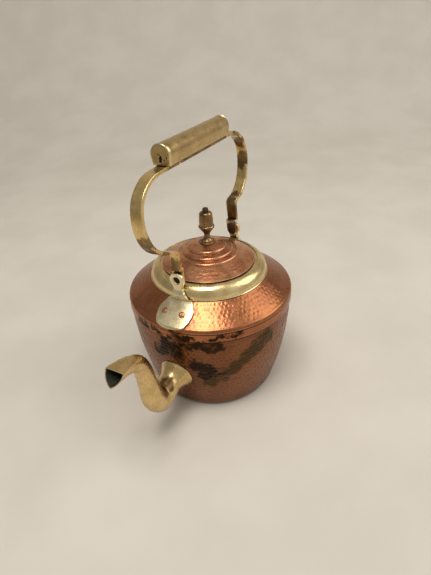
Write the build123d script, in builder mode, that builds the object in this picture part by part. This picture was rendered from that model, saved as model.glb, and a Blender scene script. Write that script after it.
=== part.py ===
from build123d import *

import os
from math import cos, pi, radians, sin

# Stovetop kettle: hammered copper body, brass spout, lugs, collar and bail handle.
# Millimetres. +Z is up, +X is the spout side, and the origin is the middle of the base.

# Sheet metal
SHEET = 1.2
SEAM = 0.05              # solder film between lapped or fitted pieces of one body
RUNNING = 0.05           # radial play of a pin in its eye
APART = 0.3              # air between pieces that move against each other

# Base and wall
BASE_FLAT_R = 70.0
WALL_FOOT_R = 77.4
WALL_FOOT_Z = 6.4
BASE_BEND_OUT = (75.4, 2.0)
BASE_BEND_IN = (73.6, 2.9)
WALL_OUTLINE = ((WALL_FOOT_R, WALL_FOOT_Z), (82.5, 23.4), (88.9, 53.1), (93.2, 85.0), (94.7, 114.0))
WALL_TOP_R = 94.5
WALL_TOP_Z = 121.0
PAN_LAP_R = 79.6         # wall radius where the base pan's upstand ends inside it
PAN_LAP_Z = 14.0

# Shoulder: a skirt lapped over the wall, a crease, a cone and a short neck
SKIRT_R = 96.0
SKIRT_Z = 113.7
CREASE_LOW = (95.9, 122.6)
CREASE_MID = (95.0, 126.3)
CREASE_TOP = (92.3, 128.4)
CONE_TOP = (61.9, 147.4)
NECK_TOP_Z = 151.0

# Collar round the filler opening
COLLAR_FOOT = (67.4, 145.5)
COLLAR_ROOT = (65.0, 147.0)
COLLAR_BULGE = (64.6, 152.2)
COLLAR_LIP_R = 55.3
COLLAR_LIP_Z = 159.1
COLLAR_LEDGE_Z = 158.0
COLLAR_BORE_R = 50.5
COLLAR_BORE_Z = 148.5

# Lid: a cone with three stepped rings under the finial
LID_R = 54.0
LID_EDGE_Z = 159.4
LID_RINGS = (             # foot and crown of each ring
    ((35.0, 167.6), (31.6, 170.3)),
    ((28.8, 170.9), (25.4, 173.8)),
    ((21.8, 174.9), (18.4, 178.2)),
)
RING_BULGE = (0.7, 0.8)   # how near a ring's bulge keeps to its foot's radius and its crown's height
LID_CROWN_R = 10.5
LID_CROWN_Z = 180.6
BEZEL_R = 49.9
BEZEL_LOW_Z = 148.2
BEZEL_TOP_Z = 159.7

# Finial and its stud
STUD_R = 2.5
BUTTON_Z = 216.4
BUTTON_TOP_Z = 220.7
BUTTON_R = 3.3
BUTTON_DOME = ((3.3, 3.1), (2.95, 3.95), (2.1, 4.3))          # radius, height over the finial
FINIAL_FOOT = ((9.25, 0.0), (9.25, 1.2), (8.4, 1.6))          # radius, height over the lid's crown
FINIAL_STEM = ((8.4, 1.6), (4.6, 4.2), (3.4, 8.6))
FINIAL_CUP = ((3.4, 10.4), (5.4, 13.4), (8.1, 17.2))
FINIAL_BEAD = ((8.1, 17.2), (9.0, 18.7), (8.1, 20.2))
FINIAL_BARREL = (7.9, 20.8)
FINIAL_SHOULDER = ((7.4, 32.4), (6.8, 34.4), (5.0, 35.8))
WASHER_R = 7.0
WASHER_T = 1.1
NUT_FLATS = 8.0
NUT_T = 4.0
STUD_LOW_Z = 173.2

# Spout: centre line, tube radius and how far the section has turned from round to a flat-topped V
SPOUT_FOOT = (86.0, 56.7)
SPOUT_ELBOW = (122.6, 49.6)
SPOUT_FLANGE_R = 20.0
SPOUT_STUB_R = 13.3
SPOUT_FLARE = ((5.2, 19.4), (9.2, 15.4), (15.0, 13.3))     # distance along the stub, radius
SPOUT_LIMB = (            # x, z, radius, share of V section
    (122.6, 49.6, 12.9, 0.0),
    (132.6, 59.8, 12.8, 0.0),
    (136.6, 80.5, 11.1, 0.0),
    (140.2, 102.0, 9.6, 0.0),
    (147.6, 120.6, 9.3, 0.1),
    (162.5, 129.6, 9.3, 0.6),
    (176.0, 131.6, 9.5, 1.0),
    (194.0, 133.4, 9.7, 1.0),
)
SPOUT_WALL = 2.2
MOUTH_TOP = (176.0, 137.2)
MOUTH_TIP = (187.2, 123.6)
MOUTH_REACH = 40.0        # size of the block that cuts the mouth
WALL_HOLE_R = 10.6
SECTION_POINTS = 16
V_TOP = 0.52              # the V section in shares of the tube's radius
V_KEEL = -0.9
V_HALF_WIDTH = 1.08
V_SIDE_POWER = 1.5

# Handle lugs on the shoulder, front and rear
HINGE_Z = 167.6
EAR_R = 8.7
EAR_IN_X = 64.5
EAR_OUT_X = 68.5
LUG_T = 2.6
PLATE_SHIFT = 2.0         # the plate sits a little to one side of the ear
LUG_OUTLINE = (           # half width and height of one side, from the ear down to the tip
    (5.6, 157.8),
    (8.2, 150.6),
    (15.4, 144.6),
    (20.6, 137.6),
    (18.4, 131.4),
    (10.6, 127.9),
    (0.0, 126.9),
)
LUG_IN_R = 67.8          # plate starts just outside the collar's foot
LUG_UPRIGHT = (           # side view of the neck and ear: x, z
    (LUG_IN_R, 144.2),
    (LUG_IN_R, 146.0),
    (66.3, 149.2),
    (66.3, 152.0),
    (EAR_IN_X, 156.6),
    (EAR_IN_X, 177.0),
    (EAR_OUT_X, 177.0),
    (EAR_OUT_X, 157.0),
    (70.2, 150.8),
    (72.6, 146.2),
    (77.0, 140.4),
    (76.0, 139.4),
)
COUNTERSINK = 1.1
RIVET_YS = (-8.6, 11.7)
RIVET_Z = 135.0
RIVET_R = 1.7
RIVET_HEAD_R = 3.5
RIVET_HEAD_T = 1.5
RIVET_TAPER = 28
RIVET_TAIL_R = 3.2
RIVET_TAIL_T = 0.9

# Pivot pins
PIN_R = 3.4
PIN_OUT_X = 66.4
PIN_HEAD_R = 5.0
PIN_HEAD_T = 2.0
PIN_DOME = 0.7            # share of the head's radius and thickness at the middle of its dome
PIN_FLAT = 0.3            # share of the head's radius that is flat

# Bail handle, drawn in its own plane: x along the kettle, h up from the hinge
HANDLE_LEAN = 3.9
STRAP_T = 4.0
STRAP_W = 13.0
EYE_R = 6.8
EYE_IN_X = 61.2
EYE_OUT_X = 64.2
TAB_FOOT_H = 9.7
LEDGE_H = 13.2
FRONT_TAB = (63.9, 30.0)
REAR_TAB = (67.4, 34.2)
STRAP_TOP_H = 113.5
STRAP_LOOP = ((86.0, 110.4), (102.0, 97.6), (107.3, 77.0), (99.4, 52.4), (80.5, 37.6))
STRAP_FLAT_X = 60.0
ARM_RISE = 1.6
ARM_SLOPE = -0.3          # how steeply the strap comes in to its elbow

# Grip: a rolled brass tube, round above and narrowing to the flat that sits on the strap
GRIP_R = 10.4
GRIP_H = 125.1
GRIP_FLAT = 18.2          # width of the flat
GRIP_WAIST = 7            # where the round turns into straight sides, in degrees below the middle
GRIP_LENGTH = 112.6
GRIP_SHEET = 1.2
CAP_T = 3.0
CAP_R = 10.6
SPIGOT_T = 2.0

HANDLE_PLANE = Plane(
    origin=(0, 0, HINGE_Z),
    x_dir=(1, 0, 0),
    z_dir=(0, -cos(radians(HANDLE_LEAN)), -sin(radians(HANDLE_LEAN))),
)
SLOPE = (CREASE_TOP[1] - CONE_TOP[1]) / (CREASE_TOP[0] - CONE_TOP[0])

os.makedirs("parts", exist_ok=True)


def save(part, name):
    part.label = name
    export_step(part, f"parts/{name}.step")


def cone_radius(z):
    """Outer radius of the shoulder cone at height z."""
    return CONE_TOP[0] + (z - CONE_TOP[1]) / SLOPE


def rivet_planes(side):
    """Planes on the shoulder's surface, normal outwards, at the two rivets of one lug."""
    radius = cone_radius(RIVET_Z)
    planes = []
    for y in RIVET_YS:
        x = side * (radius**2 - y**2) ** 0.5
        normal = (-SLOPE * x / radius, -SLOPE * y / radius, 1)
        planes.append(Plane(origin=(x, y, RIVET_Z), x_dir=(-y, x, 0), z_dir=normal))
    return planes


# --- body ---------------------------------------------------------------------------------

with BuildPart() as base_pan:
    with BuildSketch(Plane.XZ):
        with BuildLine():
            lap_in = SHEET + SEAM
            Line((0, 0), (BASE_FLAT_R, 0))
            ThreePointArc((BASE_FLAT_R, 0), BASE_BEND_OUT, (WALL_FOOT_R, WALL_FOOT_Z))
            Polyline(
                (WALL_FOOT_R, WALL_FOOT_Z),
                (WALL_FOOT_R - lap_in - SEAM, WALL_FOOT_Z),
                (PAN_LAP_R - lap_in - SEAM, PAN_LAP_Z),
                (PAN_LAP_R - lap_in - SHEET, PAN_LAP_Z),
                (WALL_FOOT_R - lap_in - SHEET, WALL_FOOT_Z),
            )
            ThreePointArc((WALL_FOOT_R - lap_in - SHEET, WALL_FOOT_Z), BASE_BEND_IN, (BASE_FLAT_R, SHEET))
            Polyline((BASE_FLAT_R, SHEET), (0, SHEET), (0, 0))
        make_face()
    revolve(axis=Axis.Z)
save(base_pan.part, "base_pan")

with BuildPart() as body_wall:
    with BuildSketch(Plane.XZ):
        with BuildLine():
            outside = [*WALL_OUTLINE, (WALL_TOP_R, WALL_TOP_Z)]
            inside = [(r - SHEET, z) for r, z in outside]
            Spline(*outside)
            Spline(*inside)
            Line(outside[0], inside[0])
            Line(outside[-1], inside[-1])
        make_face()
    revolve(axis=Axis.Z)
    with BuildSketch(Plane.YZ.offset(SPOUT_FOOT[0] - WALL_HOLE_R)):
        with Locations((0, SPOUT_FOOT[1])):
            Circle(WALL_HOLE_R)
    extrude(amount=3 * WALL_HOLE_R, mode=Mode.SUBTRACT)
save(body_wall.part, "body_wall")

with BuildPart() as shoulder:
    with BuildSketch(Plane.XZ):
        with BuildLine():
            Line((SKIRT_R, SKIRT_Z), CREASE_LOW)
            ThreePointArc(CREASE_LOW, CREASE_MID, CREASE_TOP)
            Line(CREASE_TOP, CONE_TOP)
            Line(CONE_TOP, (CONE_TOP[0], NECK_TOP_Z))
            offset(amount=SHEET, side=Side.LEFT)
        make_face()
    revolve(axis=Axis.Z)
    with BuildSketch(*rivet_planes(1), *rivet_planes(-1)):
        Circle(RIVET_R)
    extrude(amount=3 * SHEET, both=True, mode=Mode.SUBTRACT)
save(shoulder.part, "shoulder")

with BuildPart() as collar_ring:
    with BuildSketch(Plane.XZ):
        with BuildLine():
            Line(COLLAR_FOOT, COLLAR_ROOT)
            ThreePointArc(COLLAR_ROOT, COLLAR_BULGE, (COLLAR_LIP_R, COLLAR_LIP_Z))
            Polyline(
                (COLLAR_LIP_R, COLLAR_LIP_Z),
                (COLLAR_LIP_R, COLLAR_LEDGE_Z),
                (COLLAR_BORE_R, COLLAR_LEDGE_Z),
                (COLLAR_BORE_R, COLLAR_BORE_Z),
            )
            offset(amount=SHEET, side=Side.LEFT)
        make_face()
    revolve(axis=Axis.Z)
save(collar_ring.part, "collar_ring")

# --- lid ----------------------------------------------------------------------------------

with BuildPart() as lid_cap:
    with BuildSketch(Plane.XZ):
        with BuildLine():
            start = (LID_R, LID_EDGE_Z)
            for foot, crown in LID_RINGS:
                Line(start, foot)
                bulge_r = crown[0] + RING_BULGE[0] * (foot[0] - crown[0])
                bulge_z = foot[1] + RING_BULGE[1] * (crown[1] - foot[1])
                ThreePointArc(foot, (bulge_r, bulge_z), crown)
                start = crown
            Polyline(start, (LID_CROWN_R, LID_CROWN_Z), (STUD_R + SEAM, LID_CROWN_Z))
            offset(amount=SHEET, side=Side.LEFT)
        make_face()
    revolve(axis=Axis.Z)
save(lid_cap.part, "lid_cap")

with BuildPart() as lid_bezel:
    with BuildSketch(Plane.XY.offset(BEZEL_LOW_Z)):
        Circle(BEZEL_R)
        Circle(BEZEL_R - SHEET, mode=Mode.SUBTRACT)
    extrude(amount=BEZEL_TOP_Z - BEZEL_LOW_Z)
save(lid_bezel.part, "lid_bezel")


def lifted(points, base_z):
    """The points of an outline at their own heights above base_z."""
    return [(r, base_z + z) for r, z in points]


with BuildPart() as finial:
    with BuildSketch(Plane.XZ):
        with BuildLine():
            foot = lifted(FINIAL_FOOT, LID_CROWN_Z)
            stem = lifted(FINIAL_STEM, LID_CROWN_Z)
            cup = lifted(FINIAL_CUP, LID_CROWN_Z)
            bead = lifted(FINIAL_BEAD, LID_CROWN_Z)
            barrel = lifted([FINIAL_BARREL], LID_CROWN_Z)
            finial_top = lifted(FINIAL_SHOULDER, LID_CROWN_Z)
            Polyline((STUD_R + SEAM, LID_CROWN_Z), *foot)
            ThreePointArc(*stem)
            Line(stem[-1], cup[0])
            ThreePointArc(*cup)
            ThreePointArc(*bead)
            Polyline(bead[-1], *barrel, finial_top[0])
            ThreePointArc(*finial_top)
            Polyline(finial_top[-1], (STUD_R + SEAM, BUTTON_Z), (STUD_R + SEAM, LID_CROWN_Z))
        make_face()
    revolve(axis=Axis.Z)
save(finial.part, "finial")

with BuildPart() as finial_stud:
    with BuildSketch(Plane.XZ):
        with BuildLine():
            dome = lifted(BUTTON_DOME, BUTTON_Z)
            Polyline((0, STUD_LOW_Z), (STUD_R, STUD_LOW_Z), (STUD_R, BUTTON_Z))
            Polyline((STUD_R, BUTTON_Z), (BUTTON_R, BUTTON_Z), dome[0])
            ThreePointArc(*dome)
            Polyline(dome[-1], (0, BUTTON_TOP_Z), (0, STUD_LOW_Z))
        make_face()
    revolve(axis=Axis.Z)
save(finial_stud.part, "finial_stud")

washer_top = LID_CROWN_Z - SHEET - SEAM
with BuildPart() as finial_washer:
    with BuildSketch(Plane.XY.offset(washer_top - WASHER_T)):
        Circle(WASHER_R)
        Circle(STUD_R + SEAM, mode=Mode.SUBTRACT)
    extrude(amount=WASHER_T)
save(finial_washer.part, "finial_washer")

with BuildPart() as finial_nut:
    with BuildSketch(Plane.XY.offset(washer_top - WASHER_T - NUT_T)):
        RegularPolygon(NUT_FLATS / 2, 6, major_radius=False)
        Circle(STUD_R + SEAM, mode=Mode.SUBTRACT)
    extrude(amount=NUT_T)
save(finial_nut.part, "finial_nut")

# --- spout --------------------------------------------------------------------------------


def section_point(radius, share, angle):
    """A point on the tube's section: round at share 0, a flat-topped V at share 1."""
    across = radius * cos(angle)
    up = radius * sin(angle)
    top = V_TOP * radius
    rise = abs(sin(angle))
    side = 1 if cos(angle) > 0 else -1
    v_across = V_HALF_WIDTH * radius * side * abs(cos(angle)) ** (1 if sin(angle) > 0 else V_SIDE_POWER)
    v_up = top if sin(angle) > 0 else V_KEEL * radius * rise + top * (1 - rise)
    return (
        across + share * (v_across - across),
        up + share * (v_up - up),
    )


def limb_sketch(index, inset):
    """Section of the limb at one station, drawn square to the centre line."""
    x, z, radius, share = SPOUT_LIMB[index]
    before = SPOUT_LIMB[max(index - 1, 0)]
    after = SPOUT_LIMB[min(index + 1, len(SPOUT_LIMB) - 1)]
    along = (after[0] - before[0], 0, after[1] - before[1])
    plane = Plane(origin=(x, 0, z), x_dir=(0, 1, 0), z_dir=along)
    angles = [2 * pi * step / SECTION_POINTS for step in range(SECTION_POINTS)]
    points = [section_point(radius - inset, share, angle) for angle in angles]
    with BuildSketch(plane) as section:
        with BuildLine():
            Spline(*points, periodic=True)
        make_face()
    return section.sketch


def stub_solid(inset):
    """Foot and elbow of the spout: a flared stub turned about its own axis, with a round end."""
    run = (SPOUT_ELBOW[0] - SPOUT_FOOT[0], SPOUT_ELBOW[1] - SPOUT_FOOT[1])
    length = (run[0] ** 2 + run[1] ** 2) ** 0.5
    radius = SPOUT_STUB_R - inset
    axis_plane = Plane(origin=(SPOUT_FOOT[0], 0, SPOUT_FOOT[1]), x_dir=(run[0], 0, run[1]), z_dir=(0, -1, 0))
    with BuildPart() as stub:
        with BuildSketch(axis_plane):
            with BuildLine():
                if inset:
                    Polyline((0, 0), (0, radius), (length, radius))
                else:
                    Polyline((0, 0), (0, SPOUT_FLANGE_R), SPOUT_FLARE[0])
                    Spline(*SPOUT_FLARE, tangents=((0.5, -1), (1, 0)))
                    Line(SPOUT_FLARE[-1], (length, radius))
                RadiusArc((length, radius), (length + radius, 0), radius)
                Line((length + radius, 0), (0, 0))
            make_face()
        revolve(axis=Axis((SPOUT_FOOT[0], 0, SPOUT_FOOT[1]), (run[0], 0, run[1])))
    return stub.part


def spout_solid(inset):
    """The spout's outside, or its bore when inset is the metal's thickness."""
    with BuildPart() as tube:
        add(stub_solid(inset))
        loft(sections=[limb_sketch(index, inset) for index in range(len(SPOUT_LIMB))])
    return tube.part


with BuildPart() as wall_outside:
    with BuildSketch(Plane.XZ):
        with BuildLine():
            edge = [(r + SEAM, z) for r, z in WALL_OUTLINE]
            Spline(*edge)
            Polyline(edge[-1], (0, edge[-1][1]), (0, edge[0][1]), edge[0])
        make_face()
    revolve(axis=Axis.Z)

with BuildPart() as spout:
    add(spout_solid(0))
    add(spout_solid(SPOUT_WALL), mode=Mode.SUBTRACT)
    add(wall_outside.part, mode=Mode.SUBTRACT)
    with BuildSketch(Plane.XZ):
        with BuildLine():
            slope_x = (MOUTH_TIP[0] - MOUTH_TOP[0]) / (MOUTH_TOP[1] - MOUTH_TIP[1])
            Polyline(
                (MOUTH_TOP[0] - MOUTH_REACH * slope_x, MOUTH_TOP[1] + MOUTH_REACH),
                (MOUTH_TIP[0] + MOUTH_REACH * slope_x, MOUTH_TIP[1] - MOUTH_REACH),
                (MOUTH_TIP[0] + 3 * MOUTH_REACH, MOUTH_TIP[1]),
                close=True,
            )
        make_face()
    extrude(amount=MOUTH_REACH, both=True, mode=Mode.SUBTRACT)
save(spout.part, "spout")

# --- lugs, rivets and pivot pins ----------------------------------------------------------



def lug_side(side):
    """One side of the lug from the ear down to the tip, leaning over to where the plate sits."""
    neck_top = LUG_OUTLINE[0][1]
    run = neck_top - LUG_OUTLINE[2][1]
    return [(side * y + PLATE_SHIFT * min(1, (neck_top - z) / run), z) for y, z in LUG_OUTLINE]


with BuildPart() as lug_envelope:
    with BuildSketch(Plane.XZ):
        rim = cone_radius(LUG_OUTLINE[-1][1])
        lift = (SEAM, LUG_T)
        inner_z, outer_z = (
            [CONE_TOP[1] + SLOPE * (r - CONE_TOP[0]) + step * (1 + SLOPE**2) ** 0.5 for step in lift]
            for r in (LUG_IN_R, rim)
        )
        Polygon(
            (LUG_IN_R, inner_z[0]), (rim, outer_z[0]), (rim, outer_z[1]), (LUG_IN_R, inner_z[1]), align=None
        )
    revolve(axis=Axis.Z)
    with BuildSketch(Plane.XZ):
        Polygon(*LUG_UPRIGHT, align=None)
    extrude(amount=LUG_OUTLINE[3][0], both=True)

with BuildPart() as lug_front:
    with BuildSketch(Plane.YZ.offset(EAR_IN_X - EAR_R)):
        with BuildLine():
            Spline(*lug_side(1), *reversed(lug_side(-1)[:-1]))
            neck, neck_z = LUG_OUTLINE[0]
            Polyline((-neck, neck_z), (-neck, HINGE_Z), (neck, HINGE_Z), (neck, neck_z))
        make_face()
        with Locations((0, HINGE_Z)):
            Circle(EAR_R)
    extrude(amount=rim)
    add(lug_envelope.part, mode=Mode.INTERSECT)
    add(shoulder.part, mode=Mode.SUBTRACT)
    with BuildSketch(Plane.YZ.offset(EAR_OUT_X)):
        with Locations((0, HINGE_Z)):
            Circle(PIN_R + COUNTERSINK)
    extrude(amount=-COUNTERSINK, taper=45, mode=Mode.SUBTRACT)
    with BuildSketch(Plane.YZ.offset(EAR_OUT_X)):
        with Locations((0, HINGE_Z)):
            Circle(PIN_R + SEAM)
    extrude(amount=2 * EAR_R, both=True, mode=Mode.SUBTRACT)
    with BuildSketch(*rivet_planes(1)):
        Circle(RIVET_R)
    extrude(amount=2 * LUG_T, mode=Mode.SUBTRACT)

with BuildPart() as rivets_front:
    for rivet_plane in rivet_planes(1):
        tail_plane = rivet_plane.offset(-SHEET - 3 * SEAM - RIVET_TAIL_T)
        with BuildSketch(tail_plane):
            Circle(RIVET_TAIL_R)
        extrude(amount=RIVET_TAIL_T)
        with BuildSketch(tail_plane):
            Circle(RIVET_R - SEAM)
        extrude(amount=RIVET_TAIL_T + SHEET + LUG_T + RIVET_HEAD_T)
        with BuildSketch(rivet_plane.offset(LUG_T + SEAM)):
            Circle(RIVET_HEAD_R)
        extrude(amount=RIVET_HEAD_T, taper=RIVET_TAPER)

with BuildPart() as pivot_pin_front:
    with BuildSketch(Plane.XZ):
        with BuildLine():
            seat = EYE_IN_X - APART
            Polyline((seat - PIN_HEAD_T, HINGE_Z), (PIN_OUT_X, HINGE_Z), (PIN_OUT_X, HINGE_Z + PIN_R))
            Polyline((PIN_OUT_X, HINGE_Z + PIN_R), (seat, HINGE_Z + PIN_R), (seat, HINGE_Z + PIN_HEAD_R))
            ThreePointArc(
                (seat, HINGE_Z + PIN_HEAD_R),
                (seat - PIN_DOME * PIN_HEAD_T, HINGE_Z + PIN_DOME * PIN_HEAD_R),
                (seat - PIN_HEAD_T, HINGE_Z + PIN_FLAT * PIN_HEAD_R),
            )
            Line((seat - PIN_HEAD_T, HINGE_Z + PIN_FLAT * PIN_HEAD_R), (seat - PIN_HEAD_T, HINGE_Z))
        make_face()
    revolve(axis=Axis((0, 0, HINGE_Z), (1, 0, 0)))

for front, name in ((lug_front, "lug"), (rivets_front, "lug_rivets"), (pivot_pin_front, "pivot_pin")):
    save(mirror(front.part, about=Plane.YZ), f"{name}_rear")
    save(front.part, f"{name}_front")

# --- bail handle --------------------------------------------------------------------------

with BuildPart() as handle_strap:
    with BuildSketch(HANDLE_PLANE):
        with BuildLine():
            Line((-STRAP_FLAT_X, STRAP_TOP_H), (STRAP_FLAT_X, STRAP_TOP_H))
            for side, (tab_x, tab_top) in ((1, FRONT_TAB), (-1, REAR_TAB)):
                elbow = (side * (tab_x + STRAP_T), tab_top + ARM_RISE)
                loop = [(side * x, h) for x, h in STRAP_LOOP]
                top_end = (side * STRAP_FLAT_X, STRAP_TOP_H)
                Spline(top_end, *loop, elbow, tangents=((side, 0), (-side, ARM_SLOPE)))
                Polyline(elbow, (side * tab_x, tab_top), (side * tab_x, TAB_FOOT_H))
        trace(line_width=STRAP_T)
        for side, (tab_x, tab_top) in ((1, FRONT_TAB), (-1, REAR_TAB)):
            with Locations((side * tab_x, tab_top), (side * (tab_x + STRAP_T), tab_top + ARM_RISE)):
                Circle(STRAP_T / 2)
            eye_x = side * (EYE_IN_X + EYE_OUT_X) / 2
            with Locations((eye_x, LEDGE_H / 2)):
                Rectangle(EYE_OUT_X - EYE_IN_X, LEDGE_H)
            with Locations(((eye_x + side * tab_x) / 2, (TAB_FOOT_H + LEDGE_H) / 2)):
                Rectangle(abs(eye_x - side * tab_x) + STRAP_T / 2, LEDGE_H - TAB_FOOT_H)
    extrude(amount=STRAP_W / 2, both=True)
    for side in (1, -1):
        with BuildSketch(Plane.YZ.offset(side * EYE_IN_X)):
            with Locations((0, HINGE_Z)):
                Circle(EYE_R)
        extrude(amount=side * (EYE_OUT_X - EYE_IN_X))
    with BuildSketch(Plane.YZ):
        with Locations((0, HINGE_Z)):
            Circle(PIN_R + RUNNING)
    extrude(amount=EAR_OUT_X, both=True, mode=Mode.SUBTRACT)
save(handle_strap.part, "handle_strap")


def grip_plane(x):
    """Plane across the grip at x, with its y axis along the handle's own height."""
    lean = radians(HANDLE_LEAN)
    return Plane(origin=(x, 0, HINGE_Z), x_dir=(0, cos(lean), sin(lean)), z_dir=(1, 0, 0))


def grip_section(x, radius):
    """Arched section: a round top over straight sides that narrow to the flat on the strap."""
    seat_h = STRAP_TOP_H + STRAP_T / 2 + SEAM
    flat = GRIP_FLAT / 2 + radius - GRIP_R
    waist = radius * cos(radians(GRIP_WAIST))
    waist_h = GRIP_H - radius * sin(radians(GRIP_WAIST))
    with BuildSketch(grip_plane(x)) as section:
        with Locations((0, GRIP_H)):
            Circle(radius)
        Polygon((-flat, seat_h), (flat, seat_h), (waist, waist_h), (-waist, waist_h), align=None)
        with Locations((0, seat_h)):
            Rectangle(4 * radius, 2 * radius, align=(Align.CENTER, Align.MAX), mode=Mode.SUBTRACT)
    return section.sketch


half_grip = GRIP_LENGTH / 2
with BuildPart() as grip_tube:
    extrude(grip_section(-half_grip, GRIP_R), amount=GRIP_LENGTH)
    extrude(offset(grip_section(-half_grip, GRIP_R), -GRIP_SHEET), amount=GRIP_LENGTH, mode=Mode.SUBTRACT)
save(grip_tube.part, "grip_tube")

with BuildPart() as grip_cap_front:
    extrude(grip_section(half_grip + SEAM, CAP_R), amount=CAP_T)
    spigot = offset(grip_section(half_grip - SPIGOT_T, GRIP_R), -GRIP_SHEET - SEAM)
    extrude(spigot, amount=SPIGOT_T + SEAM)
save(mirror(grip_cap_front.part, about=Plane.YZ), "grip_cap_rear")
save(grip_cap_front.part, "grip_cap_front")
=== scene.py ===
from math import atan2, cos, hypot, pi, radians, sin, sqrt

import bpy
import numpy as np
from mathutils import Matrix, Vector


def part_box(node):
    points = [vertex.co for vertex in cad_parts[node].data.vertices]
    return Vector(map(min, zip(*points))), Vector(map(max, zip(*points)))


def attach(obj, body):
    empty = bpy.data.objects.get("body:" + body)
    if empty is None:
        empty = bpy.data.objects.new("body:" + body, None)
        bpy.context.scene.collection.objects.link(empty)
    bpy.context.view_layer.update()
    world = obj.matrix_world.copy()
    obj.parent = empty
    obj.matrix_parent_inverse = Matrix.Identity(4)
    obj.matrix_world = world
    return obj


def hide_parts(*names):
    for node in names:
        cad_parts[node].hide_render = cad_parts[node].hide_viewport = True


# Looks of a hammered copper stovetop kettle with brass fittings, built round its CAD frame.
# Lengths are millimetres in the kettle's own frame: +Z up, +X the spout side, origin in the
# middle of the base. A mesh is turned into metres when it is made.

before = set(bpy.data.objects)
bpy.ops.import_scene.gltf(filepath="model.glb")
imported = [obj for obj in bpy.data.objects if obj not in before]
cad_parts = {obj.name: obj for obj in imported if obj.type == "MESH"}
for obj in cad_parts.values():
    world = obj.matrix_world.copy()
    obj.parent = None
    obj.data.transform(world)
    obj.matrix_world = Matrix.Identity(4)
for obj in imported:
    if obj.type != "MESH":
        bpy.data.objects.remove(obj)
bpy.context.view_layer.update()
MM = 0.001

# Body
SHEET = 1.2
WALL_OUTLINE = ((77.4, 6.4), (82.5, 23.4), (88.9, 53.1), (93.2, 85.0), (94.7, 114.0), (94.5, 121.0))
SKIRT_R = 96.0
SKIRT_Z = 113.7
CREASE = ((95.9, 122.6), (95.0, 126.3), (92.3, 128.4))
CONE_TOP = (61.9, 147.4)
NECK_TOP_Z = 151.0
SLOPE = (CREASE[2][1] - CONE_TOP[1]) / (CREASE[2][0] - CONE_TOP[0])
CONE_LIFT = sqrt(1 + SLOPE**2)

# Collar, lid and finial
COLLAR_FOOT = (67.4, 145.5)
COLLAR_ROOT = (66.7, 146.2)
COLLAR_BULGE = (65.2, 152.2)
COLLAR_LIP = (55.8, 159.0)
COLLAR_LEDGE_Z = 158.0
COLLAR_BORE = (50.5, 148.5)
LID_EDGE = (53.2, 159.5)
LID_RINGS = (((35.0, 167.6), (31.6, 170.3)), ((28.8, 170.9), (25.4, 173.8)), ((21.8, 174.9), (18.4, 178.2)))
LID_CROWN = (10.5, 180.6)
STUD_R = 2.5
BUTTON_Z = 216.4
BUTTON_TOP_Z = 220.7

# Spout: inner (upper) and outer (lower) edge of the tube at each station, half width, share of V
SPOUT_FOOT = (86.0, 56.7)
SPOUT_RUN = (0.9817, -0.1905)
FLANGE_R = 19.8
FLANGE_T = 1.3
HOLE_R = 10.6
STUB_R = 13.3
SPOUT_WALL = 2.2
SPOUT_STATIONS = (
    (112.1, 65.2, 107.0, 39.1, 13.3, 0.0),
    (117.3, 64.5, 115.3, 35.6, 13.3, 0.0),
    (119.6, 64.5, 123.9, 34.4, 13.3, 0.0),
    (120.5, 65.3, 132.4, 37.9, 13.2, 0.0),
    (121.3, 66.9, 139.2, 44.9, 13.1, 0.0),
    (122.4, 70.0, 144.0, 53.4, 12.6, 0.0),
    (124.1, 75.8, 146.9, 65.6, 12.0, 0.0),
    (125.7, 82.5, 147.5, 78.6, 11.1, 0.0),
    (130.9, 104.5, 149.5, 99.5, 9.6, 0.0),
    (140.4, 126.4, 154.8, 114.8, 9.3, 0.1),
    (159.1, 138.3, 165.9, 120.9, 9.3, 0.6),
    (174.9, 141.0, 177.1, 122.2, 9.5, 1.0),
    (193.0, 143.0, 195.0, 123.8, 9.7, 1.0),
)
V_TOP = 0.52              # the V section in shares of the tube's half width
V_KEEL = -0.9
V_HALF_WIDTH = 1.08
V_SIDE_POWER = 1.5
MOUTH_TOP = (176.0, 137.2)
MOUTH_TIP = (186.85, 123.6)

# Lugs, rivets and pins
HINGE_Z = 167.6
EAR_R = 8.7
EAR_X = (64.5, 68.5)
LUG_T = 2.6
PLATE_SHIFT = 2.0
LUG_SIDE = (
    (5.6, 157.8), (8.2, 150.6), (15.4, 144.6), (20.6, 137.6), (18.4, 131.4), (10.6, 127.9), (0.0, 126.9)
)
LUG_BACK = (
    (95.6, 124.6), (94.6, 127.0), (92.0, 128.6), (67.8, 143.7), (67.8, 146.0),
    (66.3, 149.2), (66.3, 152.0), (64.5, 156.6), (64.5, 177.0),
)
RIVET_YS = (-8.6, 11.7)
RIVET_Z = 135.0
RIVET_HEAD_R = 3.5
PIN_R = 3.4
PIN_X = (58.9, 60.9, 66.4)
PIN_HEAD_R = 5.0

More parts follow.
